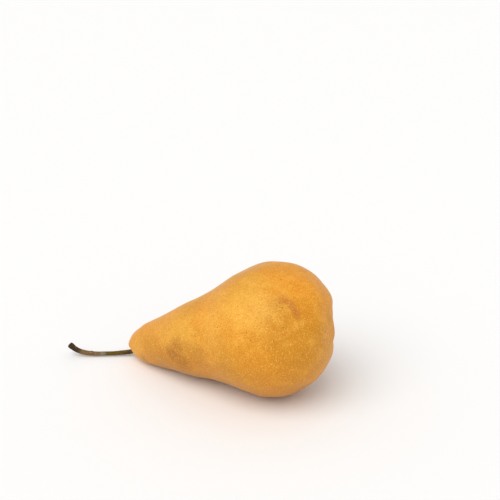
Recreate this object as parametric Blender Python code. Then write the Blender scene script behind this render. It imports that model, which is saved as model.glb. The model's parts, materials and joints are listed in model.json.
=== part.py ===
"""A russet pear lying on its side, with its stem and the dried flower remnant.

The long axis runs along X. The stem end is at -X, the blossom end at +X.
The pear rests on Z = 0 on two small flats, one under the belly and one under
the neck. The origin is the middle of the belly's flat.
Sizes below are in millimetres, and the objects are built in metres.
"""

import bmesh
import bpy
import numpy as np

MM = 0.001

# Flesh body. Distances along the body are measured on its bowed centreline,
# from the widest section: plus towards the stem, minus towards the blossom end.
BELLY_RADIUS = 35.0
BODY_END = 91.0
TILT_DEG = 18.75
SINK = 1.0
BOW = 5.0
ARCH = 1.5
NOSE_UP = -2.8
NOSE_ASIDE = 1.2
TIP_FROM = 55.0
TIP_RISE = 1.0

# Blossom end: a small level floor, the basin's wall, its rim and the shoulder.
BASIN_FLOOR_RADIUS = 2.8
BASIN_FLOOR = -25.0
BASIN_WALL = ((-26.6, 5.4), (-29.2, 8.8))
BASIN_RIM = (-30.4, 13.0)
SHOULDER = ((-28.6, 18.0), (-22.2, 26.8), (-11.0, 33.0))

# The neck narrows in a slow double curve to a blunt tip.
NECK = ((15.0, 31.0), (30.0, 24.5), (45.0, 20.5), (60.0, 16.0), (73.0, 12.5), (81.0, 10.1))
TIP = ((86.4, 7.3), (89.6, 4.0))

# Swells and hollows: along the body, around it from the top towards -Y in
# degrees, height, reach.
SWELLS = (
    (-20.0, -20.0, 1.0, 9.0),
    (-28.5, -50.0, -1.3, 4.0),
    (-31.0, -75.0, 0.5, 3.0),
    (-22.0, 150.0, -0.3, 9.0),
    (-9.0, 160.0, -0.8, 8.0),
    (6.0, 160.0, 0.7, 8.0),
    (47.0, 160.0, 0.9, 7.0),
    (24.0, -20.0, -0.4, 7.0),
    (-20.0, 62.0, -0.5, 4.0),
    (8.0, -95.0, 0.7, 13.0),
    (38.0, -110.0, -0.6, 10.0),
    (-12.0, 100.0, 0.5, 10.0),
)

# Stem: where it leaves the flesh, the points on its line, its radius there.
SOCKET_DEPTH = 4.5
SOCKET_LIP = 0.7
GAP = 0.3
STEM_FOOT = (-84.0, -3.2, 3.0)
STEM_LINE = ((-92.1, -7.4, 2.1), (-98.6, -10.8, 1.9), (-104.7, -14.1, 2.1), (-110.0, -16.5, 3.0), (-113.8, -17.8, 4.7), (-116.9, -18.2, 6.8))
STEM_RADII = (1.3, 1.12, 1.08, 1.16, 1.3, 1.42, 1.6)

# Dried flower remnant: five short sepals round a low cup.
CALYX_RADIUS = 2.9
SEPALS = 5
SEPAL_REACH = 4.7
SEPAL_RISE = 2.3
CALYX_THICK = 0.8

SEGMENTS = 64
RING_STEP = 3.0
STEM_SEGMENTS = 20
CALYX_SEGMENTS = 60


def spline(knots, values):
    """Natural cubic through the values; returns a function of the knots' parameter."""
    t = np.asarray(knots, dtype=float)
    v = np.asarray(values, dtype=float)
    if v.ndim == 1:
        v = v[:, None]
    n = len(t)
    h = np.diff(t)
    system = np.eye(n)
    right = np.zeros_like(v)
    for i in range(1, n - 1):
        system[i, i - 1] = h[i - 1]
        system[i, i] = 2 * (h[i - 1] + h[i])
        system[i, i + 1] = h[i]
        right[i] = 6 * ((v[i + 1] - v[i]) / h[i] - (v[i] - v[i - 1]) / h[i - 1])
    bend = np.linalg.solve(system, right)

    def at(x):
        i = min(max(int(np.searchsorted(t, x)) - 1, 0), n - 2)
        a = (t[i + 1] - x) / h[i]
        b = (x - t[i]) / h[i]
        curve = ((a ** 3 - a) * bend[i] + (b ** 3 - b) * bend[i + 1]) * h[i] ** 2 / 6
        return a * v[i] + b * v[i + 1] + curve

    return at


def unit(vector):
    return np.asarray(vector, dtype=float) / np.linalg.norm(vector)


def smooth_step(x):
    x = min(max(x, 0.0), 1.0)
    return x * x * (3 - 2 * x)


def centreline(along):
    """Point on the bowed centreline of the flesh."""
    tilt = np.radians(TILT_DEG)
    w = along / BODY_END
    hump = 4 * w * (1 - w)
    nose = (min(along, 0.0) / BASIN_RIM[0]) ** 2
    tip = (max(along - TIP_FROM, 0.0) / (BODY_END - TIP_FROM)) ** 2
    x = -along * np.cos(tilt)
    y = -BOW * hump + NOSE_ASIDE * nose
    z = BELLY_RADIUS - SINK - along * np.sin(tilt) + ARCH * hump + NOSE_UP * nose + TIP_RISE * tip
    return np.array([x, y, z])


def frame_at(direction):
    """Up and side vectors square to a direction."""
    forward = unit(direction)
    side = unit(np.cross([0.0, 0.0, 1.0], forward))
    up = np.cross(forward, side)
    return up, side


def stem_curve():
    """The stem's line from its seat in the flesh to its cut end, by length."""
    points = [np.array(STEM_FOOT)] + [np.array(p) for p in STEM_LINE]
    reach = [0.0]
    for a, b in zip(points, points[1:]):
        reach.append(reach[-1] + float(np.linalg.norm(b - a)))
    return spline(reach, points), reach


def stem_heading():
    line, _ = stem_curve()
    return unit(line(0.2) - line(0.0))


def body_rings():
    """Centre, up, side and radius of every ring from the basin to the stem's seat."""
    stations = [(BASIN_FLOOR, BASIN_FLOOR_RADIUS), *BASIN_WALL, BASIN_RIM, *SHOULDER, (0.0, BELLY_RADIUS), *NECK, *TIP]
    knots = [0.0]
    for a, b in zip(stations, stations[1:]):
        knots.append(knots[-1] + float(np.hypot(b[0] - a[0], b[1] - a[1])) ** 0.5)
    profile = spline(knots, stations)
    foot = np.array(STEM_FOOT)
    rings = []
    for i, (a, b) in enumerate(zip(stations, stations[1:])):
        steps = max(2, int(round(float(np.hypot(b[0] - a[0], b[1] - a[1])) / RING_STEP)))
        for k in range(steps + (i == len(stations) - 2)):
            along, radius = profile(knots[i] + (knots[i + 1] - knots[i]) * k / steps)
            turn = smooth_step((along - TIP[0][0]) / (BODY_END - TIP[0][0]))
            middle = centreline(along) + (foot - centreline(BODY_END)) * turn
            up, side = frame_at(centreline(along + 0.5) - centreline(along - 0.5))
            rings.append((middle, up, side, float(radius)))
    heading = stem_heading()
    up, side = frame_at(heading)
    hole = STEM_RADII[0] + GAP
    lip = ((0.1, SOCKET_LIP), (0.25, SOCKET_LIP * 0.5), (0.1, SOCKET_LIP * 0.12), (-0.6, 0.0), (-2.4, 0.0), (-SOCKET_DEPTH, 0.0))
    for out, wide in lip:
        rings.append((foot + heading * out, up, side, hole + wide))
    return rings


def lathe(rings, segments, first_pole, last_pole):
    """Closed skin through rings of points, with a pole at either end."""
    mesh = bmesh.new()
    loops = []
    for middle, up, side, radius in rings:
        loop = []
        for j in range(segments):
            angle = 2 * np.pi * j / segments
            point = middle + radius * (np.cos(angle) * up - np.sin(angle) * side)
            loop.append(mesh.verts.new(point * MM))
        loops.append(loop)
    start = mesh.verts.new(np.asarray(first_pole) * MM)
    end = mesh.verts.new(np.asarray(last_pole) * MM)
    for j in range(segments):
        k = (j + 1) % segments
        mesh.faces.new((start, loops[0][j], loops[0][k]))
        mesh.faces.new((end, loops[-1][k], loops[-1][j]))
        for a, b in zip(loops, loops[1:]):
            mesh.faces.new((a[j], b[j], b[k], a[k]))
    bmesh.ops.recalc_face_normals(mesh, faces=mesh.faces)
    return mesh


def swell(mesh):
    """Push the skin out or in round chosen spots, so that it isn't turned round."""
    spots = []
    for along, around, height, reach in SWELLS:
        middle = centreline(along)
        ahead = unit(centreline(along + 0.5) - centreline(along - 0.5))
        up, side = frame_at(ahead)
        angle = np.radians(around)
        radius = body_radius(along)
        spots.append((middle + radius * (np.cos(angle) * up - np.sin(angle) * side), height, reach))
    mesh.normal_update()
    moves = []
    for vert in mesh.verts:
        place = np.array(vert.co) / MM
        push = 0.0
        for spot, height, reach in spots:
            push += height * np.exp(-float(np.sum((place - spot) ** 2)) / (2 * reach ** 2))
        moves.append(np.array(vert.normal) * push * MM)
    for vert, move in zip(mesh.verts, moves):
        vert.co = np.array(vert.co) + move


def body_radius(along):
    """Radius of the turned body before its swells."""
    stations = [BASIN_RIM, *SHOULDER, (0.0, BELLY_RADIUS), *NECK]
    return float(np.interp(along, [s[0] for s in stations], [s[1] for s in stations]))


def flatten(mesh):
    """Cut off what lies below the ground and close the cuts: the resting flats."""
    geometry = list(mesh.verts) + list(mesh.edges) + list(mesh.faces)
    bmesh.ops.bisect_plane(
        mesh, geom=geometry, plane_co=(0, 0, 0), plane_no=(0, 0, 1), dist=1e-7, clear_inner=True
    )
    rim = [edge for edge in mesh.edges if edge.is_boundary]
    bmesh.ops.edgeloop_fill(mesh, edges=rim)
    bmesh.ops.recalc_face_normals(mesh, faces=mesh.faces)


def add_object(name, mesh, material):
    data = bpy.data.meshes.new(name)
    mesh.to_mesh(data)
    mesh.free()
    data.materials.append(material)
    for polygon in data.polygons:
        polygon.use_smooth = True
    item = bpy.data.objects.new(name, data)
    bpy.context.scene.collection.objects.link(item)
    return item


def principled(name, colour, roughness):
    material = bpy.data.materials.new(name)
    material.use_nodes = True
    shader = material.node_tree.nodes["Principled BSDF"]
    shader.inputs["Base Color"].default_value = (*colour, 1.0)
    shader.inputs["Roughness"].default_value = roughness
    shader.inputs["Metallic"].default_value = 0.0
    return material


def build_fruit():
    rings = body_rings()
    first = rings[0][0]
    last = rings[-1][0]
    mesh = lathe(rings, SEGMENTS, first, last)
    swell(mesh)
    flatten(mesh)
    return add_object("fruit", mesh, principled("pear_skin", (0.73, 0.35, 0.045), 0.5))


def build_stem():
    line, reach = stem_curve()
    heading = stem_heading()
    seat = SOCKET_DEPTH - GAP
    width = spline(reach, STEM_RADII)
    start = np.array(STEM_FOOT) - heading * seat
    up, side = frame_at(heading)
    rings = [(start, up, side, STEM_RADII[0] - 0.25), (start + heading * 0.25, up, side, STEM_RADII[0])]
    rings.append((start + heading * seat * 0.5, up, side, STEM_RADII[0]))
    count = 24
    for i in range(count + 1):
        at = reach[-1] * i / count
        ahead = line(min(at + 0.3, reach[-1])) - line(max(at - 0.3, 0.0))
        up, side = frame_at(ahead)
        rings.append((line(at), up, side, float(width(at)[0])))
    end, up, side, radius = rings[-1]
    ahead = np.cross(side, up)
    ahead = ahead if np.dot(ahead, line(reach[-1]) - line(reach[-1] - 1.0)) > 0 else -ahead
    rings.append((end + ahead * 0.35, up, side, radius * 0.86))
    mesh = lathe(rings, STEM_SEGMENTS, start, end + ahead * 0.45)
    return add_object("stem", mesh, principled("stem_bark", (0.16, 0.09, 0.035), 0.75))


def calyx_outline(angle, share):
    """Radius of the cup at a share of its width, drawn out into sepals at the edge."""
    point = abs(np.cos(SEPALS * angle / 2)) ** 1.2
    edge = CALYX_RADIUS + (SEPAL_REACH - CALYX_RADIUS) * point
    return share * (CALYX_RADIUS * (1 - share ** 3) + edge * share ** 3)


def build_calyx():
    heading = unit(centreline(BASIN_FLOOR - 0.5) - centreline(BASIN_FLOOR + 0.5))
    floor = centreline(BASIN_FLOOR)
    up, side = frame_at(heading)
    shares = (0.25, 0.5, 0.7, 0.85, 1.0)
    mesh = bmesh.new()
    loops = []
    rows = [(share, 0.0) for share in shares] + [(share, 1.0) for share in reversed(shares)]
    for share, top in rows:
        loop = []
        for j in range(CALYX_SEGMENTS):
            angle = 2 * np.pi * j / CALYX_SEGMENTS
            radius = calyx_outline(angle, share)
            rise = GAP + SEPAL_RISE * max(0.0, (radius - 1.8) / (SEPAL_REACH - 1.8)) ** 1.3
            thick = CALYX_THICK * (1.0 - 0.5 * share ** 2)
            height = rise + top * thick
            point = floor + radius * (np.cos(angle) * up - np.sin(angle) * side) + heading * height
            loop.append(mesh.verts.new(point * MM))
        loops.append(loop)
    under = mesh.verts.new((floor + heading * GAP) * MM)
    over = mesh.verts.new((floor + heading * (GAP + CALYX_THICK)) * MM)
    for j in range(CALYX_SEGMENTS):
        k = (j + 1) % CALYX_SEGMENTS
        mesh.faces.new((under, loops[0][j], loops[0][k]))
        mesh.faces.new((over, loops[-1][k], loops[-1][j]))
        for a, b in zip(loops, loops[1:]):
            mesh.faces.new((a[j], b[j], b[k], a[k]))
    bmesh.ops.recalc_face_normals(mesh, faces=mesh.faces)
    return add_object("calyx", mesh, principled("calyx_dry", (0.10, 0.075, 0.05), 0.85))


def main():
    for item in list(bpy.data.objects):
        bpy.data.objects.remove(item, do_unlink=True)
    build_fruit()
    build_stem()
    build_calyx()


main()
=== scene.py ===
"""A russet pear that lies on a pale floor.

Makes the skin, the stem and the dried flower remnant, then the floor, the light and the camera.
"""

import json
import math

import bmesh
import bpy
from mathutils import Matrix, Vector, noise

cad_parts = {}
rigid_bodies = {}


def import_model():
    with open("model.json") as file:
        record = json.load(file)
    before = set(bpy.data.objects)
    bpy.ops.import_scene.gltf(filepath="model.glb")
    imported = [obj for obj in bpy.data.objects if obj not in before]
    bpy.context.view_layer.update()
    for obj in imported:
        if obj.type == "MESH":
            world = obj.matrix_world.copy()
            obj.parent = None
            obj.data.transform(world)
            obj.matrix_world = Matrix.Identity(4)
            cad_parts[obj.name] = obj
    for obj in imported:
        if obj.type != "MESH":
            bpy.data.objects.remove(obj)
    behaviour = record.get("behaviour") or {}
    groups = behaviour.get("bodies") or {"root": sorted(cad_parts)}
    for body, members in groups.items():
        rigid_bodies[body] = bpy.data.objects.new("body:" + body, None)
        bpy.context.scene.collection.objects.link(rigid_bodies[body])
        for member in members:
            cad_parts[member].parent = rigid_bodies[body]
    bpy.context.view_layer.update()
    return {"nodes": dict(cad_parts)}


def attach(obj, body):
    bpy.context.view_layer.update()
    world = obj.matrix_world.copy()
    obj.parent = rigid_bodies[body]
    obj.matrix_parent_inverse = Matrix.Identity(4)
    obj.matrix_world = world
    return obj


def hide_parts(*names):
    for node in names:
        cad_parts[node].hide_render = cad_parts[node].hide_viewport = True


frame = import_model()

bl_info = {
    "name": "Russet pear",
    "version": (1, 0, 0),
    "blender": (4, 5, 0),
    "location": "View3D > Sidebar > Pear",
    "description": "Dresses a lying pear: skin, stem, flower remnant and stage",
    "category": "Object",
}

MM = 0.001

# Places on the part, in millimetres: the stem's line from its seat in the flesh to its cut end,
# where it leaves the flesh, the low lip of flesh below it, the floor of the basin at the blossom
# end and the way the basin faces.
STEM_LINE = (
    (-80.0, -1.1, 3.4), (-84.0, -3.2, 3.0), (-92.1, -7.4, 2.1), (-98.6, -10.8, 1.9),
    (-104.7, -14.1, 2.1), (-110.0, -16.5, 3.0), (-113.8, -17.8, 4.7), (-116.9, -18.2, 6.8),
)
STEM_FOOT = (-84.0, -3.2, 3.0)
STEM_LIP = (-82.8, -6.0, 1.0)
BASIN_FLOOR = (23.67, 7.82, 38.04)
BASIN_HEADING = (0.917, 0.393, 0.066)

# Soft patches of the skin, in millimetres: middle, radius of the full colour, radius where it
# ends, strength.
SOFT_PATCHES = {
    "gold": (
        ((-3.0, -24.0, 59.0), 4.0, 24.0, 0.9),
        ((-45.0, -23.0, 31.0), 3.0, 18.0, 0.6),
        ((-20.0, -31.0, 42.0), 2.0, 15.0, 0.4),
        ((-21.0, -26.0, 47.0), 3.0, 14.0, 0.5),
        ((-74.0, -13.0, 10.0), 2.0, 13.0, 0.65),
    ),
    "orange": (((14.0, -6.0, 67.0), 4.0, 26.0, 0.85),),
    "ochre": (
        ((25.0, -26.0, 33.0), 4.0, 22.0, 0.6),
        ((6.0, -34.0, 30.0), 4.0, 20.0, 0.4),
        ((13.0, -27.5, 51.0), 4.0, 16.0, 0.95),
        ((-19.0, -31.0, 34.7), 2.0, 12.0, 0.4),
        ((21.0, -22.0, 53.0), 4.0, 14.0, 0.7),
        ((9.0, -32.0, 45.0), 2.0, 13.0, 0.4),
        ((-11.6, -31.6, 22.1), 2.0, 12.0, 0.4),
    ),
    # Painted sheen: a pale pinkish band along the rim round the blossom end, where the skin turns
    # away.
    "painted_rim_sheen": (
        ((30.5, 4.0, 52.0), 1.0, 11.0, 0.55),
        ((23.0, 4.0, 63.0), 1.0, 10.0, 0.4),
        ((34.0, -8.0, 41.0), 1.0, 11.0, 0.6),
        ((33.0, -14.0, 32.0), 1.0, 9.0, 0.4),
    ),
    "smudge": (
        ((-46.0, -24.0, 20.4), 2.0, 8.0, 0.95),
        ((-40.0, -25.0, 17.5), 2.0, 9.0, 0.95),
        ((-52.0, -22.0, 17.0), 1.0, 8.0, 0.45),
        ((-43.0, -25.0, 25.0), 1.0, 9.0, 0.85),
        ((-37.0, -26.5, 27.0), 1.0, 7.0, 0.4),
        ((-30.0, -27.5, 24.0), 2.0, 10.0, 0.4),
        ((11.0, -21.0, 60.2), 0.5, 6.5, 0.22),
        ((31.6, -2.8, 48.9), 0.5, 4.0, 0.3),
        ((-70.5, -14.8, 6.6), 0.5, 4.5, 0.7),
    ),
}

# Shallow facets and swells that keep the outline from being evenly round, in millimetres:
# place, depth (a swell's is negative), reach.
FACETS = (
    ((22.5, -13.0, 11.0), 1.0, 9.5),
    ((4.9, -21.5, 7.3), -0.5, 7.0),
    ((-14.0, -24.0, 11.0), 0.4, 7.0),
    ((-52.0, -16.5, 6.0), 0.6, 8.0),
    ((-81.0, -4.0, 17.3), 0.8, 5.5),
    ((-83.3, -8.0, 9.8), -0.6, 4.5),
    ((-83.4, -6.8, 4.6), 0.8, 5.5),
    ((-71.0, -12.6, 4.4), -0.3, 5.0),
    ((34.5, -5.0, 39.0), -0.35, 5.0),
    ((-81.5, -7.0, 1.8), 0.5, 4.0),
    ((-30.0, 24.0, 38.0), 0.4, 9.0),
    ((12.0, 27.0, 52.0), 0.4, 10.0),
    ((-17.5, 3.0, 63.3), 0.6, 8.5),
    ((-11.5, 2.5, 66.8), 0.7, 12.0),
    ((7.0, 9.6, 67.4), -0.8, 12.0),
    ((17.5, 9.8, 64.4), -0.4, 9.0),
    ((26.4, 8.0, 56.9), -0.5, 10.0),
    ((31.7, -0.2, 49.4), 0.3, 4.5),
)

# The darkest small marks of the side that shows.
MARKS = (
    (8.5, -9.3, 67.3), (-7.6, -25.4, 56.4), (17.1, -26.1, 50.6), (0.7, -32.5, 47.2),
    (14.1, -30.5, 44.7), (-2.4, -34.5, 39.9), (14.9, -32.1, 34.9), (16.3, -30.8, 28.0),
    (26.6, -23.7, 36.9), (14.5, -21.3, 58.5), (16.5, -17.3, 60.9), (12.7, -20.3, 60.2),
)

# The crease over the shoulder: its points, and the arc that its painted shade follows.
CREASE = (
    (14.3, -19.0, 60.5), (16.2, -19.0, 59.6), (17.9, -19.0, 58.6), (21.2, -19.2, 56.1),
    (23.6, -19.7, 53.2),
)
CREASE_DEPTH, CREASE_REACH = 0.3, 2.8
CREASE_CENTRE = (5.7, -21.0, 43.0)
CREASE_RADIUS = 20.15

# Width of the skin's soft lumps and of the flower remnant's crumples, in metres.
LUMP_SIZE, CRUMPLE_SIZE = 0.016, 0.0009

# Folds of the skin in the basin: distance from its middle, height over its floor, depth, reach.
FOLDS = 5
FOLD_STATIONS = ((6.2, 2.2, 0.25, 2.4), (9.5, 4.6, 0.4, 3.6), (13.0, 5.6, 0.3, 4.5))

# Where the skin meets the stem, in millimetres: how far round the lip it is eased, how near the
# stem it isn't, and the rim that closes round the stem, by this factor and fading out.
LIP_REACH, RIM_KEPT = 4.5, 2.4
RIM_REACH, RIM_CLOSE, RIM_FADE = 2.2, 0.84, 1.6

# The worn cut end of the stem: how much of it, in millimetres, and how much it swells again.
END_REACH, END_SWELL = 2.0, 1.12

# How far the stem's free part sags, in metres.
STEM_SAG = 0.0002

# Bud scars on the stem and the hollow in its cut end: place, depth, reach.
BUD_SCARS = (((-98.5, -12.0, 1.9), -0.3, 1.1), ((-105.5, -13.6, 3.2), -0.25, 1.0))
CUT_END = (((-117.2, -18.3, 7.1), 0.35, 1.0),)

# The flower remnant, in millimetres: the cup's profile as steps up and the widening at each, a
# stamen's the same way, the turn in radians from one stamen to the next, how far each sepal curls
# and twists in degrees, and where they stand.
CUP_RADIUS, CUP_FOOT = 1.7, 0.42
CUP_STEPS = (
    (0.12, 1.2), (0.38, 1.12), (0.30, 1.02), (0.08, 0.95), (-0.12, 0.86), (-0.35, 0.72),
    (-0.25, 0.6), (0.05, 0.4),
)
STAMEN_RADIUS = 0.12
STAMEN_STEPS = (
    (0.25, 0.85), (0.25, 0.9), (0.25, 0.9), (0.25, 1.0), (0.12, 2.1), (0.16, 1.05), (0.12, 0.45),
)
STAMENS = 13
STAMEN_TURN = 2.39996
STAMEN_FOOT = 0.55
SEPAL_WIDTH, SEPAL_THICKNESS = 2.3, 0.2
SEPAL_CURLS = ((62, 14), (48, -20), (70, 9), (40, 24), (57, -12))
SEPAL_FOOT = (0.0, 1.95, 0.75)

# The camera: its place in metres, its turn and height in degrees, its lens and sensor.
CAMERA_PLACE = (0.16256, -0.36796, 0.24052)
CAMERA_TURN, CAMERA_RAISED = 25.5, 22.0
CAMERA_LENS, CAMERA_SENSOR = 62.66, 36.0


def colour(name, about, value):
    return bpy.props.FloatVectorProperty(
        name=name, description=about, subtype="COLOR", size=3, min=0.0, max=1.0, default=value
    )


def length(name, about, value):
    return bpy.props.FloatProperty(
        name=name, description=about, default=value, min=0.0, unit="LENGTH", precision=5
    )


def share(name, about, value):
    return bpy.props.FloatProperty(
        name=name, description=about, default=value, min=0.0, max=1.0, subtype="FACTOR"
    )


def power(name, about, value):
    return bpy.props.FloatProperty(name=name, description=about, default=value, min=0.0)


def angle(name, about, value):
    return bpy.props.FloatProperty(
        name=name, description=about, default=math.radians(value), min=0.0, subtype="ANGLE"
    )


class PearSkinSettings(bpy.types.PropertyGroup):
    amber: colour("Amber", "Main colour of the ripe skin", (0.61, 0.268, 0.012))
    gold: colour("Gold", "Brighter yellow patches", (0.83, 0.435, 0.058))
    orange: colour("Orange", "Warm blush on the sunny shoulder", (0.82, 0.315, 0.018))
    ochre: colour("Ochre", "Deeper skin low on the blossom end", (0.57, 0.222, 0.008))
    # This colour is a painted sheen: pale pinkish tan along the rim round the blossom end.
    painted_rim_sheen: colour("Bloom", "Pale pinkish tan round the blossom end", (0.70, 0.33, 0.085))
    smudge: colour("Smudge", "Brown rubbed spots on the neck", (0.355, 0.132, 0.006))
    # This colour is painted shade along the dent over the shoulder; it also paints the freckles.
    crease: colour("Crease", "Bruised red brown of the dent on the shoulder", (0.48, 0.16, 0.016))
    rust: colour("Rust", "Redder grain between the pores", (0.60, 0.17, 0.005))
    # Russet also darkens the underside by height, partly as painted shade.
    russet: colour("Russet", "Brown cork on the underside and at the ends", (0.33, 0.135, 0.016))
    speck: colour("Speck", "Pale breathing pores", (0.90, 0.525, 0.10))
    prick: colour("Prick", "Small dark marks", (0.24, 0.045, 0.008))
    grain: length("Grain", "Size of the finest russet grain", 0.0006)
    pore_gap: length("Pore gap", "Usual distance between pores", 0.00125)
    prick_gap: length("Prick gap", "Usual distance between dark marks", 0.0042)
    unevenness: length("Unevenness", "How far the skin swells over a finger's width", 0.0005)
    roughness: share("Roughness", "Roughness of the skin", 0.50)
    sheen: share("Sheen", "Soft light at grazing angles", 0.16)


class PearStemSettings(bpy.types.PropertyGroup):
    olive: colour("Olive", "Green brown near the flesh", (0.118, 0.076, 0.003))
    tan: colour("Tan", "Dry brown along the outer half", (0.205, 0.115, 0.042))
    dark: colour("Dark", "Blackened end and streaks", (0.026, 0.014, 0.006))
    red: colour("Red", "Red brown flecks where it leaves the flesh", (0.085, 0.03, 0.008))
    grey: colour("Grey", "Weathered spots and the cut end", (0.30, 0.27, 0.21))
    ridge: length("Ridge", "Height of the lengthwise wrinkles", 0.00012)


class PearCalyxSettings(bpy.types.PropertyGroup):
    brown: colour("Brown", "Dried sepals", (0.075, 0.046, 0.024))
    pit: colour("Pit", "Nearly black hollows between the fibres", (0.018, 0.011, 0.007))
    ash: colour("Ash", "Bleached sepal edges", (0.24, 0.19, 0.125))
    sepal: length("Sepal length", "Length of a sepal from the cup's rim", 0.0034)
    crumple: length("Crumple", "How far the dried tissue is crumpled", 0.00012)


class PearStageSettings(bpy.types.PropertyGroup):
    floor: colour("Floor", "Pale ground", (0.93, 0.93, 0.93))
    floor_size: length("Floor size", "Width of the ground", 12.0)
    key: power("Key", "Strength of the main soft light", 1.55)
    key_spread: angle("Key spread", "How wide the main light is", 55.0)
    sky: power("Sky", "Strength of the even light overhead", 0.64)


def put_down_everything():
    """Leaves no object selected, so that the next tool works on one piece only."""
    if bpy.context.object and bpy.context.object.mode != "OBJECT":
        bpy.ops.object.mode_set(mode="OBJECT")
    for item in bpy.context.scene.objects:
        item.select_set(False)


def take_up(piece):
    put_down_everything()
    piece.select_set(True)
    bpy.context.view_layer.objects.active = piece


def open_mesh(piece, test=None):
    """Goes into edit mode with the vertices selected that pass the test; none without a test."""
    take_up(piece)
    bpy.ops.object.mode_set(mode="EDIT")
    bpy.ops.mesh.select_mode(type="VERT")
    pick(piece, test or (lambda point: False))


def pick(piece, test):
    """Selects the vertices that pass the test, in edit mode."""
    bpy.ops.mesh.select_all(action="DESELECT")
    mesh = bmesh.from_edit_mesh(piece.data)
    for vertex in mesh.verts:
        if test(vertex.co):
            vertex.select_set(True)
    mesh.select_flush_mode()
    bmesh.update_edit_mesh(piece.data, loop_triangles=False, destructive=False)


def soft(reach):
    """Settings of a move that fades out smoothly over the given reach."""
    return {
        "use_proportional_edit": True,
        "proportional_edit_falloff": "SMOOTH",
        "proportional_size": reach,
    }


def close_mesh():
    bpy.ops.object.mode_set(mode="OBJECT")


def modify(piece, kind, **settings):
    """Adds a modifier with its settings and applies it."""
    take_up(piece)
    bpy.ops.object.modifier_add(type=kind)
    added = piece.modifiers[-1]
    for key, value in settings.items():
        setattr(added, key, value)
    bpy.ops.object.modifier_apply(modifier=added.name)


def round_off(piece, levels):
    modify(piece, "SUBSURF", levels=levels, render_levels=levels)


def deform(piece, method, axis, degrees):
    modify(
        piece, "SIMPLE_DEFORM", deform_method=method, deform_axis=axis, angle=math.radians(degrees)
    )


def copy_of_node(node, name):
    """A new piece with a CAD node's shape: its triangles merged, paired to quads and smooth."""
    piece = bpy.data.objects.new(name, frame["nodes"][node].data.copy())
    piece.data.name = name
    bpy.context.scene.collection.objects.link(piece)
    open_mesh(piece)
    bpy.ops.mesh.select_all(action="SELECT")
    bpy.ops.mesh.remove_doubles(threshold=0.000004)
    bpy.ops.mesh.tris_convert_to_quads(
        face_threshold=math.radians(50), shape_threshold=math.radians(60)
    )
    close_mesh()
    bpy.ops.object.shade_smooth()
    return piece


def lumps(piece, size, height):
    """Low soft swells of one size all over a piece."""
    pattern = bpy.data.textures.new(piece.name + "_lumps", "CLOUDS")
    pattern.noise_scale = size
    pattern.noise_depth = 1
    modify(
        piece, "DISPLACE", texture=pattern, texture_coords="LOCAL", strength=height, mid_level=0.5
    )
    bpy.data.textures.remove(pattern)


def press(piece, spots):
    """Pushes soft hollows into a piece, or swells where the depth is negative, in mm."""
    open_mesh(piece)
    for place, depth, reach in spots:
        spot = Vector(place) * MM
        verts = bmesh.from_edit_mesh(piece.data).verts
        near = min(verts, key=lambda vertex: (vertex.co - spot).length_squared)
        middle = near.co.copy()
        push = -near.normal * depth * MM
        pick(piece, lambda point: point == middle)
        bpy.ops.transform.translate(value=push, **soft(reach * MM))
    close_mesh()


def smooth_line(points, steps):
    """Points along a smooth line through the given ones, with the length up to each, in mm."""
    knots = [Vector(p) for p in points]
    knots = [knots[0] * 2 - knots[1]] + knots + [knots[-1] * 2 - knots[-2]]
    line = []
    for a, b, c, d in zip(knots, knots[1:], knots[2:], knots[3:]):
        for i in range(steps):
            t = i / steps
            square = 2 * a - 5 * b + 4 * c - d
            cube = 3 * b - a - 3 * c + d
            line.append(0.5 * (2 * b + (c - a) * t + square * t * t + cube * t ** 3))
    line.append(knots[-2])
    reach = [0.0]
    for a, b in zip(line, line[1:]):
        reach.append(reach[-1] + (b - a).length)
    return line, reach


def lay_along(piece, points, name):
    """Keeps every vertex's length along a line and place across it, in mm, as an attribute."""
    line, reach = smooth_line(points, 14)
    places = piece.data.attributes.new(name, "FLOAT_VECTOR", "POINT")
    for vertex in piece.data.vertices:
        spot = vertex.co / MM
        i = min(range(len(line)), key=lambda k: (line[k] - spot).length_squared)
        ahead = (line[min(i + 1, len(line) - 1)] - line[max(i - 1, 0)]).normalized()
        side = Vector((0, 0, 1)).cross(ahead).normalized()
        away = spot - line[i]
        along = reach[i] + away.dot(ahead)
        places.data[vertex.index].vector = (along, away.dot(side), away.dot(ahead.cross(side)))


def put(tree, kind, inputs=None, **settings):
    """One node with its settings; an input is a number or another node's output."""
    node = tree.nodes.new(kind)
    for key, value in settings.items():
        setattr(node, key, value)
    for key, value in (inputs or {}).items():
        if isinstance(value, bpy.types.NodeSocket):
            tree.links.new(value, node.inputs[key])
        else:
            node.inputs[key].default_value = value
    return node


def sums(tree, operation, a, b=0.0):
    return put(tree, "ShaderNodeMath", {0: a, 1: b}, operation=operation).outputs[0]


def times(tree, a, b):
    return sums(tree, "MULTIPLY", a, b)


def step(tree, value, low, high, to_low=0.0, to_high=1.0):
    """A soft step from to_low to to_high as the value goes from low to high."""
    values = {
        "Value": value, "From Min": low, "From Max": high, "To Min": to_low, "To Max": to_high,
    }
    node = put(tree, "ShaderNodeMapRange", values, interpolation_type="SMOOTHSTEP")
    return node.outputs["Result"]


def paint(tree, mask, under, over):
    """Lays one colour over another where the mask is one."""
    node = put(tree, "ShaderNodeMix", data_type="RGBA", clamp_factor=True)
    for key, value in (("Factor_Float", mask), ("A_Color", under), ("B_Color", over)):
        socket = next(s for s in node.inputs if s.identifier == key)
        if isinstance(value, bpy.types.NodeSocket):
            tree.links.new(value, socket)
        elif key == "Factor_Float":
            socket.default_value = value
        else:
            socket.default_value = (*value, 1.0)
    return next(s for s in node.outputs if s.identifier == "Result_Color")


def vectors(tree, operation, inputs, result="Vector"):
    return put(tree, "ShaderNodeVectorMath", inputs, operation=operation).outputs[result]


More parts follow.
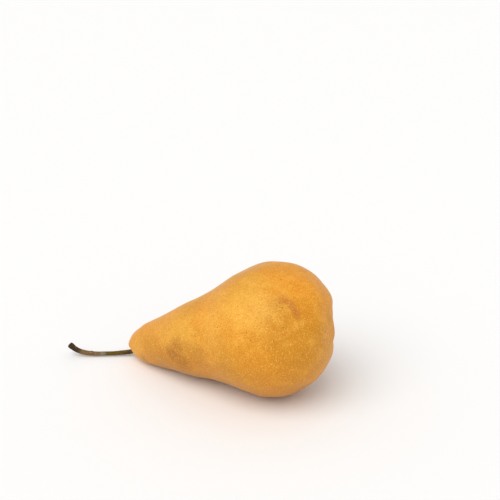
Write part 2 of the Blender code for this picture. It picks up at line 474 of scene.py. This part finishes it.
def millimetres(tree):
    """Object coordinates in millimetres."""
    where = put(tree, "ShaderNodeTexCoord").outputs["Object"]
    return vectors(tree, "SCALE", {0: where, "Scale": 1.0 / MM})


def stretched(tree, place, scale):
    return vectors(tree, "MULTIPLY", {0: place, 1: scale})


def cloud(tree, place, size, detail, rough, bend=0.0):
    """Noise whose blots are about size millimetres wide, from 0 to 1 round 0.5."""
    values = {
        "Vector": place, "Scale": 1.0 / size, "Detail": detail, "Roughness": rough,
        "Distortion": bend,
    }
    return put(tree, "ShaderNodeTexNoise", values).outputs["Fac"]


def wandering(tree, place, size, far):
    """The same places, each moved by up to half of far millimetres, so that edges wander."""
    values = {"Vector": place, "Scale": 1.0 / size, "Detail": 3.0, "Roughness": 0.6}
    drift = put(tree, "ShaderNodeTexNoise", values).outputs["Color"]
    move = vectors(tree, "SUBTRACT", {0: drift, 1: (0.5, 0.5, 0.5)})
    move = vectors(tree, "SCALE", {0: move, "Scale": far})
    return vectors(tree, "ADD", {0: place, 1: move})


def cells(tree, place, gap):
    """Scattered points gap mm apart: the distance to the nearest in mm, and its chance number."""
    node = put(tree, "ShaderNodeTexVoronoi", {"Vector": place, "Scale": 1.0 / gap}, feature="F1")
    reach = times(tree, node.outputs["Distance"], gap)
    chance = put(tree, "ShaderNodeSeparateColor", {"Color": node.outputs["Color"]})
    return reach, chance.outputs["Red"]


def dots(tree, place, gap, smallest, largest):
    """Soft round dots of mixed sizes, in mm, at scattered points."""
    reach, chance = cells(tree, place, gap)
    wide = sums(tree, "MAXIMUM", step(tree, chance, 0.0, 1.0, smallest, largest), 0.001)
    return step(tree, sums(tree, "DIVIDE", reach, wide), 0.45, 1.0, 1.0, 0.0)


def away_from(tree, place, centre):
    return vectors(tree, "DISTANCE", {0: place, 1: centre}, "Value")


def around(tree, place, centre, inner, outer):
    """One near a point, falling softly to nothing between inner and outer, in mm."""
    return step(tree, away_from(tree, place, centre), inner, outer, 1.0, 0.0)


def either(tree, masks):
    """The strongest of several masks."""
    total = masks[0]
    for mask in masks[1:]:
        total = sums(tree, "MAXIMUM", total, mask)
    return total


def patch(tree, place, name):
    """The soft patches of one colour."""
    masks = []
    for centre, inner, outer, strength in SOFT_PATCHES[name]:
        masks.append(times(tree, around(tree, place, centre, inner, outer), strength))
    return either(tree, masks)


def new_material(name):
    material = bpy.data.materials.new(name)
    material.use_nodes = True
    return material, material.node_tree, material.node_tree.nodes["Principled BSDF"]


def finish_shader(tree, shader, tone, rough, rise, strength, gloss):
    """Joins colour, roughness and relief (in mm) to the shader."""
    bump = put(tree, "ShaderNodeBump", {"Strength": strength, "Distance": MM, "Height": rise})
    tree.links.new(tone, shader.inputs["Base Color"])
    tree.links.new(rough, shader.inputs["Roughness"])
    tree.links.new(bump.outputs["Normal"], shader.inputs["Normal"])
    shader.inputs["Specular IOR Level"].default_value = gloss


def wear(piece, material, node):
    """Gives a piece its finish and its place in the part."""
    piece.data.materials.clear()
    piece.data.materials.append(material)
    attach(piece, "root")
    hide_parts(node)


def skin_finish(settings):
    """Amber skin with soft patches, russet at its ends, grain, pale pores and dark marks."""
    material, tree, shader = new_material("pear_skin_finish")
    place = millimetres(tree)
    wobble = wandering(tree, place, 14.0, 22.0)
    ragged = wandering(tree, place, 2.5, 2.4)

    broad = cloud(tree, stretched(tree, place, (0.7, 1.0, 1.0)), 24.0, 3.0, 0.5)
    mottle = cloud(tree, stretched(tree, place, (0.75, 1.0, 1.0)), 6.0, 5.0, 0.62)
    fine = cloud(tree, place, 1.7, 4.0, 0.65)
    grain = cloud(tree, place, settings.grain / MM, 2.0, 0.6)

    # The ground colour, its soft patches and the mottling.
    tone = paint(tree, step(tree, broad, 0.40, 0.64, 0.0, 0.6), settings.amber, settings.orange)
    tone = paint(tree, patch(tree, wobble, "orange"), tone, settings.orange)
    tone = paint(tree, patch(tree, wobble, "ochre"), tone, settings.ochre)
    tone = paint(tree, patch(tree, wobble, "gold"), tone, settings.gold)
    tone = paint(tree, step(tree, mottle, 0.46, 0.74, 0.0, 0.52), tone, settings.gold)
    tone = paint(tree, step(tree, mottle, 0.28, 0.52, 0.34, 0.0), tone, settings.ochre)
    # Painted sheen: a pale pinkish band along the rim round the blossom end.
    tone = paint(tree, patch(tree, wobble, "painted_rim_sheen"), tone, settings.painted_rim_sheen)

    # Darker russet towards the bottom, weaker towards the stem: partly russet, partly painted
    # shade.
    spread = put(tree, "ShaderNodeSeparateXYZ", {"Vector": wobble}).outputs
    low = step(tree, spread["Z"], 0.0, 36.0, 0.66, 0.0)
    off_tip = step(tree, spread["X"], -84.0, -48.0, 0.3, 1.0)
    tone = paint(tree, times(tree, low, off_tip), tone, settings.russet)

    # Rubbed spots, scattered blots and the brown ends.
    smudge = times(tree, patch(tree, ragged, "smudge"), step(tree, fine, 0.30, 0.62, 0.55, 1.0))
    tone = paint(tree, smudge, tone, settings.smudge)
    blots = step(tree, cloud(tree, wobble, 3.6, 6.0, 0.7, 0.6), 0.58, 0.78, 0.0, 0.3)
    tone = paint(tree, blots, tone, settings.russet)
    ends = [around(tree, ragged, STEM_FOOT, 2.0, 4.2), around(tree, ragged, BASIN_FLOOR, 3.5, 15.0)]
    ends = times(tree, either(tree, ends), step(tree, fine, 0.3, 0.7, 0.45, 0.85))
    tone = paint(tree, ends, tone, settings.russet)

    # Painted shade along the crease: a darker red brown line in the dent.
    off = sums(tree, "SUBTRACT", away_from(tree, ragged, CREASE_CENTRE), CREASE_RADIUS)
    crease = step(tree, sums(tree, "ABSOLUTE", off), 0.2, 2.2, 1.0, 0.0)
    crease = times(tree, crease, around(tree, place, CREASE[2], 3.5, 9.5))
    crease = times(tree, crease, step(tree, fine, 0.3, 0.65, 0.7, 1.0))
    tone = paint(tree, crease, tone, settings.crease)

    # Grain, pores, dark marks and freckles.
    tone = paint(tree, step(tree, fine, 0.34, 0.60, 0.15, 0.0), tone, settings.rust)
    tone = paint(tree, step(tree, grain, 0.32, 0.52, 0.48, 0.0), tone, settings.rust)
    tone = paint(tree, step(tree, grain, 0.50, 0.72, 0.0, 0.5), tone, settings.speck)
    frayed = wandering(tree, place, 0.35, 0.30)
    pore = dots(tree, frayed, settings.pore_gap / MM, 0.08, 0.37)
    tone = paint(tree, times(tree, pore, 0.6), tone, settings.speck)
    marks = [around(tree, frayed, mark, 0.15, 0.5) for mark in MARKS]
    prick = either(tree, [dots(tree, frayed, settings.prick_gap / MM, 0.0, 0.45)] + marks)
    tone = paint(tree, times(tree, prick, 0.7), tone, settings.prick)
    freckle = dots(tree, stretched(tree, frayed, (1.0, -1.0, 1.0)), 1.35, 0.0, 0.34)
    tone = paint(tree, times(tree, freckle, 0.78), tone, settings.crease)

    # Relief in millimetres, and the gloss.
    rise = times(tree, pore, 0.045)
    rise = sums(tree, "ADD", rise, times(tree, grain, 0.05))
    rise = sums(tree, "ADD", rise, times(tree, fine, 0.10))
    rise = sums(tree, "SUBTRACT", rise, times(tree, prick, 0.08))
    rough = step(tree, mottle, 0.3, 0.7, settings.roughness - 0.05, settings.roughness + 0.08)
    rough = sums(tree, "SUBTRACT", rough, times(tree, pore, 0.06))
    finish_shader(tree, shader, tone, rough, rise, 0.55, 0.22)
    shader.inputs["Sheen Weight"].default_value = settings.sheen
    shader.inputs["Sheen Roughness"].default_value = 0.4
    shader.inputs["Sheen Tint"].default_value = (1.0, 0.84, 0.64, 1.0)
    return material


def stem_finish(settings):
    """Bark that is olive near the flesh, tan further out and black at the cut end."""
    material, tree, shader = new_material("stem_bark_finish")
    place = put(tree, "ShaderNodeAttribute", attribute_name="stem_place").outputs["Vector"]
    loose_place = wandering(tree, place, 1.6, 2.4)
    along = put(tree, "ShaderNodeSeparateXYZ", {"Vector": loose_place}).outputs["X"]
    streak = cloud(tree, stretched(tree, place, (0.16, 1.0, 1.0)), 0.55, 3.0, 0.6)
    wide = cloud(tree, stretched(tree, place, (0.35, 1.0, 1.0)), 1.5, 4.0, 0.6)
    fine = cloud(tree, place, 0.25, 3.0, 0.6)

    # Colours along the stem, in millimetres from its seat in the flesh.
    tone = paint(tree, step(tree, along, 20.0, 26.0), settings.olive, settings.tan)
    tone = paint(tree, step(tree, along, 33.5, 37.5, 0.0, 0.92), tone, settings.dark)
    tone = paint(tree, step(tree, along, 5.0, 13.0, 0.3, 0.0), tone, settings.red)
    blotch = step(tree, cloud(tree, place, 0.9, 2.0, 0.5), 0.48, 0.58, 0.0, 0.85)
    blotch = times(tree, blotch, step(tree, along, 9.0, 15.0, 1.0, 0.0))
    tone = paint(tree, blotch, tone, settings.red)
    spot = cloud(tree, stretched(tree, place, (1.0, -1.0, 1.0)), 0.8, 2.0, 0.5)
    spot = step(tree, spot, 0.52, 0.60, 0.0, 0.8)
    spot = times(tree, spot, step(tree, along, 8.0, 13.0, 1.0, 0.0))
    tone = paint(tree, spot, tone, settings.dark)

    # Streaks, the weathered band, dust, flecks and scurf.
    tone = paint(tree, step(tree, streak, 0.50, 0.66, 0.0, 0.75), tone, settings.dark)
    tone = paint(tree, step(tree, wide, 0.52, 0.70, 0.0, 0.45), tone, settings.tan)
    band = times(tree, step(tree, along, 20.0, 21.5), step(tree, along, 23.0, 25.0, 1.0, 0.0))
    spots = either(tree, [times(tree, band, 0.65), step(tree, wide, 0.62, 0.72, 0.0, 0.5)])
    spots = times(tree, spots, step(tree, streak, 0.40, 0.58))
    tone = paint(tree, spots, tone, settings.grey)
    dry = step(tree, along, 15.0, 22.0, 0.3, 1.0)
    dust = times(tree, dry, step(tree, fine, 0.55, 0.75, 0.0, 0.35))
    tone = paint(tree, dust, tone, settings.grey)
    loose = wandering(tree, stretched(tree, place, (0.55, 1.0, 1.0)), 0.4, 0.35)
    fleck = dots(tree, loose, 0.75, 0.0, 0.42)
    tone = paint(tree, times(tree, fleck, 0.75), tone, settings.red)
    scurf = dots(tree, stretched(tree, loose, (1.0, 1.0, -1.0)), 1.15, 0.0, 0.45)
    tone = paint(tree, times(tree, times(tree, scurf, dry), 0.6), tone, settings.grey)

    rise = times(tree, streak, 0.10)
    rise = sums(tree, "ADD", rise, times(tree, fine, 0.03))
    rough = step(tree, wide, 0.3, 0.7, 0.62, 0.85)
    finish_shader(tree, shader, tone, rough, rise, 0.8, 0.18)
    return material


def calyx_finish(settings):
    """Dried tissue: brown, bleached towards the tips, nearly black in its hollows."""
    material, tree, shader = new_material("calyx_dry_finish")
    place = millimetres(tree)
    wide = cloud(tree, place, 1.2, 4.0, 0.6)
    fine = cloud(tree, place, 0.25, 4.0, 0.65)
    tone = paint(tree, step(tree, wide, 0.42, 0.66, 0.0, 0.7), settings.brown, settings.ash)
    out = away_from(tree, wandering(tree, place, 0.8, 0.8), BASIN_FLOOR)
    tone = paint(tree, step(tree, out, 3.0, 4.6, 0.0, 0.75), tone, settings.ash)
    tone = paint(tree, step(tree, fine, 0.52, 0.72, 0.0, 0.55), tone, settings.ash)
    tone = paint(tree, step(tree, fine, 0.28, 0.46, 0.7, 0.0), tone, settings.pit)
    rough = step(tree, wide, 0.3, 0.7, 0.75, 0.92)
    finish_shader(tree, shader, tone, rough, times(tree, fine, 0.07), 0.8, 0.25)
    return material


def copied(piece):
    """A copy of a piece with its own mesh."""
    double = bpy.data.objects.new(piece.name, piece.data.copy())
    bpy.context.scene.collection.objects.link(double)
    return double


def set_down(piece, place, turn):
    """Moves a piece to a place on the cup and turns both round the cup's middle."""
    piece.rotation_euler = (0.0, 0.0, turn)
    piece.location = Matrix.Rotation(turn, 3, "Z") @ Vector(place)
    take_up(piece)
    bpy.ops.object.transform_apply(location=True, rotation=True, scale=True)


def draw_up(steps):
    """Extrudes the selected faces by steps, each a way up and a widening, and ends the edit."""
    for rise, wide in steps:
        bpy.ops.mesh.extrude_region_move(TRANSFORM_OT_translate={"value": (0, 0, rise)})
        bpy.ops.transform.resize(value=(wide, wide, 1))
    bpy.ops.mesh.select_all(action="SELECT")
    bpy.ops.mesh.normals_make_consistent(inside=False)
    close_mesh()


def flat_sepal(tall):
    """A thin sepal that stands on its foot: tapered to a point and hollowed along its middle."""
    bpy.ops.mesh.primitive_grid_add(
        x_subdivisions=8, y_subdivisions=12, size=1.0, rotation=(math.radians(90), 0, 0)
    )
    piece = bpy.context.object
    bpy.ops.object.transform_apply(location=True, rotation=True, scale=True)
    open_mesh(piece, lambda point: True)
    bpy.ops.transform.translate(value=(0, 0, 0.5))
    bpy.ops.transform.resize(value=(SEPAL_WIDTH, 1.0, tall), center_override=(0, 0, 0))
    for height, narrow in ((1.0, 0.16), (0.66, 0.62)):
        pick(piece, lambda point: point.z > tall * height - 0.01)
        bpy.ops.transform.resize(
            value=(narrow, 1, 1), center_override=(0, 0, tall * height), **soft(tall * 0.62)
        )
    pick(piece, lambda point: abs(point.x) < 0.05)
    bpy.ops.transform.translate(value=(0, -0.28, 0), **soft(1.0))
    close_mesh()
    return piece


def curled_sepal(piece, turn, curl, twist):
    """Twists and curls a sepal outwards, gives it its thickness and sets it on the cup's rim."""
    deform(piece, "TWIST", "Z", twist)
    deform(piece, "BEND", "X", curl)
    modify(piece, "SOLIDIFY", thickness=SEPAL_THICKNESS, offset=0.0)
    round_off(piece, 1)
    set_down(piece, SEPAL_FOOT, math.radians(turn))


def straight_stamen():
    """A withered thread with a knob at its end, drawn up from a small disc."""
    bpy.ops.mesh.primitive_circle_add(vertices=8, radius=STAMEN_RADIUS, fill_type="NGON")
    piece = bpy.context.object
    open_mesh(piece, lambda point: True)
    draw_up(STAMEN_STEPS)
    round_off(piece, 1)
    return piece


def leaning_stamen(piece, turn, out, curl, tall):
    """Lengthens, bends and plants a stamen in the cup."""
    open_mesh(piece, lambda point: True)
    bpy.ops.transform.resize(value=(1, 1, tall), center_override=(0, 0, 0))
    close_mesh()
    deform(piece, "BEND", "X", curl)
    set_down(piece, (0, out, STAMEN_FOOT), turn)


def calyx_cup():
    """The dried cup: a disc drawn up, turned over its rim and down into the hollow middle."""
    bpy.ops.mesh.primitive_circle_add(
        vertices=40, radius=CUP_RADIUS, fill_type="NGON", location=(0, 0, CUP_FOOT)
    )
    piece = bpy.context.object
    bpy.ops.object.transform_apply(location=True, rotation=True, scale=True)
    open_mesh(piece, lambda point: True)
    draw_up(CUP_STEPS)
    round_off(piece, 2)
    return piece


def basin_axes():
    """Up, side and outward directions of the basin at the blossom end."""
    heading = Vector(BASIN_HEADING).normalized()
    side = Vector((0, 0, 1)).cross(heading).normalized()
    return heading.cross(side), side, heading


def puckers():
    """Shallow folds of the skin that run from the basin's floor up to its rim."""
    up, side, heading = basin_axes()
    spots = []
    for k in range(FOLDS):
        turn = math.radians(20 + 360 / FOLDS * k + 9 * math.sin(k * 2.1))
        across = up * math.cos(turn) - side * math.sin(turn)
        for out, rise, depth, reach in FOLD_STATIONS:
            spots.append((Vector(BASIN_FLOOR) + across * out + heading * rise, depth, reach))
    return spots


def within(place, reach):
    """A test for the points within a reach of a place, both in mm."""
    middle = Vector(place) * MM
    return lambda point: (point - middle).length < reach * MM


def grow(factor, place, reach):
    """Resizes what is selected about a place, fading out over the reach, in mm."""
    bpy.ops.transform.resize(
        value=(factor,) * 3, center_override=Vector(place) * MM, **soft(reach * MM)
    )


def ease_lip(piece):
    """Eases the skin into the lip under the stem and closes its rim round the stem."""
    by_lip, by_stem = within(STEM_LIP, LIP_REACH), within(STEM_FOOT, RIM_KEPT)
    open_mesh(piece, lambda point: by_lip(point) and not by_stem(point))
    bpy.ops.mesh.vertices_smooth(factor=0.5, repeat=150)
    pick(piece, within(STEM_FOOT, RIM_REACH))
    grow(RIM_CLOSE, STEM_FOOT, RIM_FADE)
    close_mesh()


def wear_round(piece, place):
    """Wears the stem's cut end round without thinning it."""
    open_mesh(piece, within(place, END_REACH))
    bpy.ops.mesh.vertices_smooth(factor=0.5, repeat=12)
    grow(END_SWELL, place, END_REACH)
    close_mesh()


def wrinkle(piece, height):
    """Raises lengthwise wrinkles on the stem and lets the part outside the flesh sag a little."""
    moves = []
    for vertex, kept in zip(piece.data.vertices, piece.data.attributes["stem_place"].data):
        along, side, up = kept.vector
        wide = max(math.hypot(side, up), 0.3)
        across = Vector((side / wide * 2.4, up / wide * 2.4, along * 0.14))
        tall = noise.noise(across) + 0.5 * noise.noise(across * 2.3)
        shown = min(max((along - 5.0) / 2.0, 0.0), 1.0)
        moves.append((vertex.normal * (tall + 0.6) * height - Vector((0, 0, STEM_SAG))) * shown)
    for vertex, move in zip(piece.data.vertices, moves):
        vertex.co += move


class PEAR_OT_skin(bpy.types.Operator):
    """Makes the flesh body's skin: smooth, gently uneven, with a creased dent"""

    bl_idname = "pear.skin"
    bl_label = "Pear skin"

    def execute(self, context):
        settings = context.scene.pear_skin
        piece = copy_of_node("fruit", "pear_skin")
        round_off(piece, 2)
        lumps(piece, LUMP_SIZE, settings.unevenness)
        press(piece, FACETS)
        press(piece, [(spot, CREASE_DEPTH, CREASE_REACH) for spot in CREASE])
        ease_lip(piece)
        press(piece, puckers())
        open_mesh(piece, lambda point: point.z < 0.0)
        bpy.ops.transform.resize(value=(1, 1, 0), center_override=(0, 0, 0))
        close_mesh()
        wear(piece, skin_finish(settings), "fruit")
        return {"FINISHED"}


class PEAR_OT_stem(bpy.types.Operator):
    """Makes the woody stem: wrinkled lengthwise, with bud scars and a hollowed cut end"""

    bl_idname = "pear.stem"
    bl_label = "Pear stem"

    def execute(self, context):
        settings = context.scene.pear_stem
        piece = copy_of_node("stem", "pear_stem")
        round_off(piece, 2)
        lay_along(piece, STEM_LINE, "stem_place")
        wrinkle(piece, settings.ridge)
        press(piece, BUD_SCARS)
        wear_round(piece, STEM_LINE[-1])
        press(piece, CUT_END)
        wear(piece, stem_finish(settings), "stem")
        return {"FINISHED"}


class PEAR_OT_calyx(bpy.types.Operator):
    """Makes the dried flower remnant: five curled sepals, a hollow cup and withered stamens"""

    bl_idname = "pear.calyx"
    bl_label = "Flower remnant"

    def execute(self, context):
        settings = context.scene.pear_calyx
        put_down_everything()
        cup = calyx_cup()
        sepal = flat_sepal(settings.sepal / MM)
        stamen = straight_stamen()
        sepals = [sepal] + [copied(sepal) for curl in SEPAL_CURLS[1:]]
        stamens = [stamen] + [copied(stamen) for k in range(STAMENS - 1)]
        for k, (part, (curl, twist)) in enumerate(zip(sepals, SEPAL_CURLS)):
            curled_sepal(part, -90 + 72 * k, curl, twist)
        for k, part in enumerate(stamens):
            out = 0.25 + 0.75 * ((k * 0.618) % 1.0)
            curl = 15 + 25 * math.sin(k * 1.7)
            leaning_stamen(part, k * STAMEN_TURN, out, curl, 1.1 + 0.35 * math.cos(k * 2.3))
        pieces = [cup] + sepals + stamens
        put_down_everything()
        for part in pieces:
            part.select_set(True)
        context.view_layer.objects.active = pieces[0]
        bpy.ops.object.join()
        piece = pieces[0]
        piece.name = "pear_calyx"
        piece.data.name = "pear_calyx"
        up, side, heading = basin_axes()
        turned = Matrix((up, -side, heading)).transposed().to_4x4()
        place = Matrix.Translation(Vector(BASIN_FLOOR) * MM)
        piece.matrix_world = place @ turned @ Matrix.Scale(MM, 4)
        take_up(piece)
        bpy.ops.object.transform_apply(location=True, rotation=True, scale=True)
        lumps(piece, CRUMPLE_SIZE, settings.crumple)
        take_up(piece)
        bpy.ops.object.shade_smooth_by_angle(angle=math.radians(60))
        wear(piece, calyx_finish(settings), "calyx")
        return {"FINISHED"}


class PEAR_OT_stage(bpy.types.Operator):
    """Lays the floor, sets up the lights and the camera"""

    bl_idname = "pear.stage"
    bl_label = "Stage"

    def execute(self, context):
        settings = context.scene.pear_stage
        put_down_everything()
        bpy.ops.mesh.primitive_plane_add(size=settings.floor_size, location=(0.0, 0.0, -0.00002))
        floor = context.object
        floor.name = "floor"
        material, tree, shader = new_material("floor_paper")
        shader.inputs["Base Color"].default_value = (*settings.floor, 1.0)
        shader.inputs["Roughness"].default_value = 0.9
        shader.inputs["Specular IOR Level"].default_value = 0.1
        floor.data.materials.append(material)

        bpy.ops.object.light_add(type="SUN", location=(-0.14, -0.55, 0.82))
        lamp = context.object
        lamp.name = "key_light"
        lamp.data.energy = settings.key
        lamp.data.angle = settings.key_spread
        lamp.data.color = (1.0, 0.985, 0.96)
        lamp.rotation_euler = (-lamp.location).to_track_quat("-Z", "Y").to_euler()

        world = bpy.data.worlds.new("even_light")
        world.use_nodes = True
        tree = world.node_tree
        towards = put(tree, "ShaderNodeTexCoord").outputs["Generated"]
        height = put(tree, "ShaderNodeSeparateXYZ", {"Vector": towards}).outputs["Z"]
        light = tree.nodes["Background"].inputs
        light["Color"].default_value = (1.0, 1.0, 1.0, 1.0)
        tree.links.new(step(tree, height, 0.02, 0.5, 1.0, settings.sky), light["Strength"])
        context.scene.world = world

        data = bpy.data.cameras.new("camera")
        camera = bpy.data.objects.new("camera", data)
        context.scene.collection.objects.link(camera)
        turn, raised = math.radians(CAMERA_TURN), math.radians(CAMERA_RAISED)
        level = math.cos(raised)
        ahead = Vector((-math.sin(turn) * level, math.cos(turn) * level, -math.sin(raised)))
        camera.location = CAMERA_PLACE
        camera.rotation_euler = ahead.to_track_quat("-Z", "Y").to_euler()
        data.sensor_width = CAMERA_SENSOR
        data.lens = CAMERA_LENS
        data.clip_start = 0.01
        data.clip_end = 30.0
        context.scene.camera = camera
        context.scene.view_settings.view_transform = "Standard"
        return {"FINISHED"}


class PEAR_PT_panel(bpy.types.Panel):
    """Lists the pear's pieces and their settings"""

    bl_label = "Pear"
    bl_idname = "PEAR_PT_panel"
    bl_space_type = "VIEW_3D"
    bl_region_type = "UI"
    bl_category = "Pear"

    def draw(self, context):
        for group, settings in SETTINGS:
            box = self.layout.box()
            box.operator(group.replace("_", ".", 1))
            for key in settings.__annotations__:
                box.prop(getattr(context.scene, group), key)


SETTINGS = (
    ("pear_skin", PearSkinSettings),
    ("pear_stem", PearStemSettings),
    ("pear_calyx", PearCalyxSettings),
    ("pear_stage", PearStageSettings),
)
CLASSES = (PEAR_OT_skin, PEAR_OT_stem, PEAR_OT_calyx, PEAR_OT_stage, PEAR_PT_panel)


def register():
    for name, group in SETTINGS:
        bpy.utils.register_class(group)
        setattr(bpy.types.Scene, name, bpy.props.PointerProperty(type=group))
    for item in CLASSES:
        bpy.utils.register_class(item)


def unregister():
    for item in reversed(CLASSES):
        bpy.utils.unregister_class(item)
    for name, group in reversed(SETTINGS):
        delattr(bpy.types.Scene, name)
        bpy.utils.unregister_class(group)


def main():
    register()
    bpy.ops.pear.skin()
    bpy.ops.pear.stem()
    bpy.ops.pear.calyx()
    bpy.ops.pear.stage()


if __name__ == "__main__":
    main()
